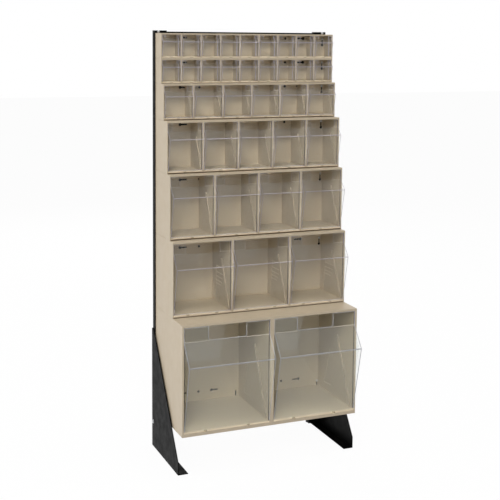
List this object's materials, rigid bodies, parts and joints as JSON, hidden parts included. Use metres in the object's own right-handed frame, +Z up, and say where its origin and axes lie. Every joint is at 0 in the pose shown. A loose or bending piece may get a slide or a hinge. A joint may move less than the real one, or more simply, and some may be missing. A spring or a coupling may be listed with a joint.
{
  "type": "tip-out bin floor stand",
  "caption": "Free-standing black steel stand with stacked ivory housings of clear tip-out cups, larger towards the floor; each cup tilts forward on a hinge in its sill.",
  "frame": {"origin": "on the floor, at the middle of the overall width and depth", "axes": "+X to the right as seen from the front, front towards -Y, +Z up"},
  "size_m": [0.6196, 0.344, 1.3743],
  "materials": {
    "ivory_plastic": "moulded, soft sheen, ivory beige",
    "clear_plastic": "clear moulded, glossy",
    "black_powder_coat": "black powder coat, satin",
    "black_plastic": "matte black",
    "zinc": "bright zinc plate"
  },
  "bodies": {
    "stand": {"housing_row1": "ivory_plastic", "housing_row2": "ivory_plastic", "housing_row3": "ivory_plastic", "housing_row4": "ivory_plastic", "housing_row5": "ivory_plastic", "housing_row6": "ivory_plastic", "housing_row7": "ivory_plastic", "upright_left": "black_powder_coat", "upright_right": "black_powder_coat", "foot_left": "black_powder_coat", "foot_right": "black_powder_coat", "top_crossbar": "black_powder_coat", "bottom_crossbar": "black_powder_coat", "upright_caps": "black_plastic", "hanging_screws": "zinc", "retaining_screws": "zinc", "crossbar_bolts": "zinc", "foot_bolts": "zinc"},
    "cup_row1_1": {"cup_row1_1": "clear_plastic"},
    "cup_row1_2": {"cup_row1_2": "clear_plastic"},
    "cup_row1_3": {"cup_row1_3": "clear_plastic"},
    "cup_row1_4": {"cup_row1_4": "clear_plastic"},
    "cup_row1_5": {"cup_row1_5": "clear_plastic"},
    "cup_row1_6": {"cup_row1_6": "clear_plastic"},
    "cup_row1_7": {"cup_row1_7": "clear_plastic"},
    "cup_row1_8": {"cup_row1_8": "clear_plastic"},
    "cup_row1_9": {"cup_row1_9": "clear_plastic"},
    "cup_row2_1": {"cup_row2_1": "clear_plastic"},
    "cup_row2_2": {"cup_row2_2": "clear_plastic"},
    "cup_row2_3": {"cup_row2_3": "clear_plastic"},
    "cup_row2_4": {"cup_row2_4": "clear_plastic"},
    "cup_row2_5": {"cup_row2_5": "clear_plastic"},
    "cup_row2_6": {"cup_row2_6": "clear_plastic"},
    "cup_row2_7": {"cup_row2_7": "clear_plastic"},
    "cup_row2_8": {"cup_row2_8": "clear_plastic"},
    "cup_row2_9": {"cup_row2_9": "clear_plastic"},
    "cup_row3_1": {"cup_row3_1": "clear_plastic"},
    "cup_row3_2": {"cup_row3_2": "clear_plastic"},
    "cup_row3_3": {"cup_row3_3": "clear_plastic"},
    "cup_row3_4": {"cup_row3_4": "clear_plastic"},
    "cup_row3_5": {"cup_row3_5": "clear_plastic"},
    "cup_row3_6": {"cup_row3_6": "clear_plastic"},
    "cup_row4_1": {"cup_row4_1": "clear_plastic"},
    "cup_row4_2": {"cup_row4_2": "clear_plastic"},
    "cup_row4_3": {"cup_row4_3": "clear_plastic"},
    "cup_row4_4": {"cup_row4_4": "clear_plastic"},
    "cup_row4_5": {"cup_row4_5": "clear_plastic"},
    "cup_row5_1": {"cup_row5_1": "clear_plastic"},
    "cup_row5_2": {"cup_row5_2": "clear_plastic"},
    "cup_row5_3": {"cup_row5_3": "clear_plastic"},
    "cup_row5_4": {"cup_row5_4": "clear_plastic"},
    "cup_row6_1": {"cup_row6_1": "clear_plastic"},
    "cup_row6_2": {"cup_row6_2": "clear_plastic"},
    "cup_row6_3": {"cup_row6_3": "clear_plastic"},
    "cup_row7_1": {"cup_row7_1": "clear_plastic"},
    "cup_row7_2": {"cup_row7_2": "clear_plastic"}
  },
  "joints": [
    {"name": "tilt_row1_1", "type": "hinge", "parent": "stand", "child": "cup_row1_1", "pos_m": [-0.266, 0.08655, 1.28927], "axis": [1, 0, 0], "range_deg": [0, 45]},
    {"name": "tilt_row1_2", "type": "hinge", "parent": "stand", "child": "cup_row1_2", "pos_m": [-0.1995, 0.08655, 1.28927], "axis": [1, 0, 0], "range_deg": [0, 45]},
    {"name": "tilt_row1_3", "type": "hinge", "parent": "stand", "child": "cup_row1_3", "pos_m": [-0.133, 0.08655, 1.28927], "axis": [1, 0, 0], "range_deg": [0, 45]},
    {"name": "tilt_row1_4", "type": "hinge", "parent": "stand", "child": "cup_row1_4", "pos_m": [-0.0665, 0.08655, 1.28927], "axis": [1, 0, 0], "range_deg": [0, 45]},
    {"name": "tilt_row1_5", "type": "hinge", "parent": "stand", "child": "cup_row1_5", "pos_m": [0, 0.08655, 1.28927], "axis": [1, 0, 0], "range_deg": [0, 45]},
    {"name": "tilt_row1_6", "type": "hinge", "parent": "stand", "child": "cup_row1_6", "pos_m": [0.0665, 0.08655, 1.28927], "axis": [1, 0, 0], "range_deg": [0, 45]},
    {"name": "tilt_row1_7", "type": "hinge", "parent": "stand", "child": "cup_row1_7", "pos_m": [0.133, 0.08655, 1.28927], "axis": [1, 0, 0], "range_deg": [0, 45]},
    {"name": "tilt_row1_8", "type": "hinge", "parent": "stand", "child": "cup_row1_8", "pos_m": [0.1995, 0.08655, 1.28927], "axis": [1, 0, 0], "range_deg": [0, 45]},
    {"name": "tilt_row1_9", "type": "hinge", "parent": "stand", "child": "cup_row1_9", "pos_m": [0.266, 0.08655, 1.28927], "axis": [1, 0, 0], "range_deg": [0, 45]},
    {"name": "tilt_row2_1", "type": "hinge", "parent": "stand", "child": "cup_row2_1", "pos_m": [-0.266, 0.08655, 1.2099], "axis": [1, 0, 0], "range_deg": [0, 45]},
    {"name": "tilt_row2_2", "type": "hinge", "parent": "stand", "child": "cup_row2_2", "pos_m": [-0.1995, 0.08655, 1.2099], "axis": [1, 0, 0], "range_deg": [0, 45]},
    {"name": "tilt_row2_3", "type": "hinge", "parent": "stand", "child": "cup_row2_3", "pos_m": [-0.133, 0.08655, 1.2099], "axis": [1, 0, 0], "range_deg": [0, 45]},
    {"name": "tilt_row2_4", "type": "hinge", "parent": "stand", "child": "cup_row2_4", "pos_m": [-0.0665, 0.08655, 1.2099], "axis": [1, 0, 0], "range_deg": [0, 45]},
    {"name": "tilt_row2_5", "type": "hinge", "parent": "stand", "child": "cup_row2_5", "pos_m": [0, 0.08655, 1.2099], "axis": [1, 0, 0], "range_deg": [0, 45]},
    {"name": "tilt_row2_6", "type": "hinge", "parent": "stand", "child": "cup_row2_6", "pos_m": [0.0665, 0.08655, 1.2099], "axis": [1, 0, 0], "range_deg": [0, 45]},
    {"name": "tilt_row2_7", "type": "hinge", "parent": "stand", "child": "cup_row2_7", "pos_m": [0.133, 0.08655, 1.2099], "axis": [1, 0, 0], "range_deg": [0, 45]},
    {"name": "tilt_row2_8", "type": "hinge", "parent": "stand", "child": "cup_row2_8", "pos_m": [0.1995, 0.08655, 1.2099], "axis": [1, 0, 0], "range_deg": [0, 45]},
    {"name": "tilt_row2_9", "type": "hinge", "parent": "stand", "child": "cup_row2_9", "pos_m": [0.266, 0.08655, 1.2099], "axis": [1, 0, 0], "range_deg": [0, 45]},
    {"name": "tilt_row3_1", "type": "hinge", "parent": "stand", "child": "cup_row3_1", "pos_m": [-0.24958, 0.06375, 1.0959], "axis": [1, 0, 0], "range_deg": [0, 45]},
    {"name": "tilt_row3_2", "type": "hinge", "parent": "stand", "child": "cup_row3_2", "pos_m": [-0.14975, 0.06375, 1.0959], "axis": [1, 0, 0], "range_deg": [0, 45]},
    {"name": "tilt_row3_3", "type": "hinge", "parent": "stand", "child": "cup_row3_3", "pos_m": [-0.04992, 0.06375, 1.0959], "axis": [1, 0, 0], "range_deg": [0, 45]},
    {"name": "tilt_row3_4", "type": "hinge", "parent": "stand", "child": "cup_row3_4", "pos_m": [0.04992, 0.06375, 1.0959], "axis": [1, 0, 0], "range_deg": [0, 45]},
    {"name": "tilt_row3_5", "type": "hinge", "parent": "stand", "child": "cup_row3_5", "pos_m": [0.14975, 0.06375, 1.0959], "axis": [1, 0, 0], "range_deg": [0, 45]},
    {"name": "tilt_row3_6", "type": "hinge", "parent": "stand", "child": "cup_row3_6", "pos_m": [0.24958, 0.06375, 1.0959], "axis": [1, 0, 0], "range_deg": [0, 45]},
    {"name": "tilt_row4_1", "type": "hinge", "parent": "stand", "child": "cup_row4_1", "pos_m": [-0.2396, 0.02795, 0.9311], "axis": [1, 0, 0], "range_deg": [0, 45]},
    {"name": "tilt_row4_2", "type": "hinge", "parent": "stand", "child": "cup_row4_2", "pos_m": [-0.1198, 0.02795, 0.9311], "axis": [1, 0, 0], "range_deg": [0, 45]},
    {"name": "tilt_row4_3", "type": "hinge", "parent": "stand", "child": "cup_row4_3", "pos_m": [0, 0.02795, 0.9311], "axis": [1, 0, 0], "range_deg": [0, 45]},
    {"name": "tilt_row4_4", "type": "hinge", "parent": "stand", "child": "cup_row4_4", "pos_m": [0.1198, 0.02795, 0.9311], "axis": [1, 0, 0], "range_deg": [0, 45]},
    {"name": "tilt_row4_5", "type": "hinge", "parent": "stand", "child": "cup_row4_5", "pos_m": [0.2396, 0.02795, 0.9311], "axis": [1, 0, 0], "range_deg": [0, 45]},
    {"name": "tilt_row5_1", "type": "hinge", "parent": "stand", "child": "cup_row5_1", "pos_m": [-0.22481, 0.00115, 0.72503], "axis": [1, 0, 0], "range_deg": [0, 45]},
    {"name": "tilt_row5_2", "type": "hinge", "parent": "stand", "child": "cup_row5_2", "pos_m": [-0.07494, 0.00115, 0.72503], "axis": [1, 0, 0], "range_deg": [0, 45]},
    {"name": "tilt_row5_3", "type": "hinge", "parent": "stand", "child": "cup_row5_3", "pos_m": [0.07494, 0.00115, 0.72503], "axis": [1, 0, 0], "range_deg": [0, 45]},
    {"name": "tilt_row5_4", "type": "hinge", "parent": "stand", "child": "cup_row5_4", "pos_m": [0.22481, 0.00115, 0.72503], "axis": [1, 0, 0], "range_deg": [0, 45]},
    {"name": "tilt_row6_1", "type": "hinge", "parent": "stand", "child": "cup_row6_1", "pos_m": [-0.20033, -0.02765, 0.48402], "axis": [1, 0, 0], "range_deg": [0, 45]},
    {"name": "tilt_row6_2", "type": "hinge", "parent": "stand", "child": "cup_row6_2", "pos_m": [0, -0.02765, 0.48402], "axis": [1, 0, 0], "range_deg": [0, 45]},
    {"name": "tilt_row6_3", "type": "hinge", "parent": "stand", "child": "cup_row6_3", "pos_m": [0.20033, -0.02765, 0.48402], "axis": [1, 0, 0], "range_deg": [0, 45]},
    {"name": "tilt_row7_1", "type": "hinge", "parent": "stand", "child": "cup_row7_1", "pos_m": [-0.15075, -0.11845, 0.1374], "axis": [1, 0, 0], "range_deg": [0, 45]},
    {"name": "tilt_row7_2", "type": "hinge", "parent": "stand", "child": "cup_row7_2", "pos_m": [0.15075, -0.11845, 0.1374], "axis": [1, 0, 0], "range_deg": [0, 45]}
  ]
}
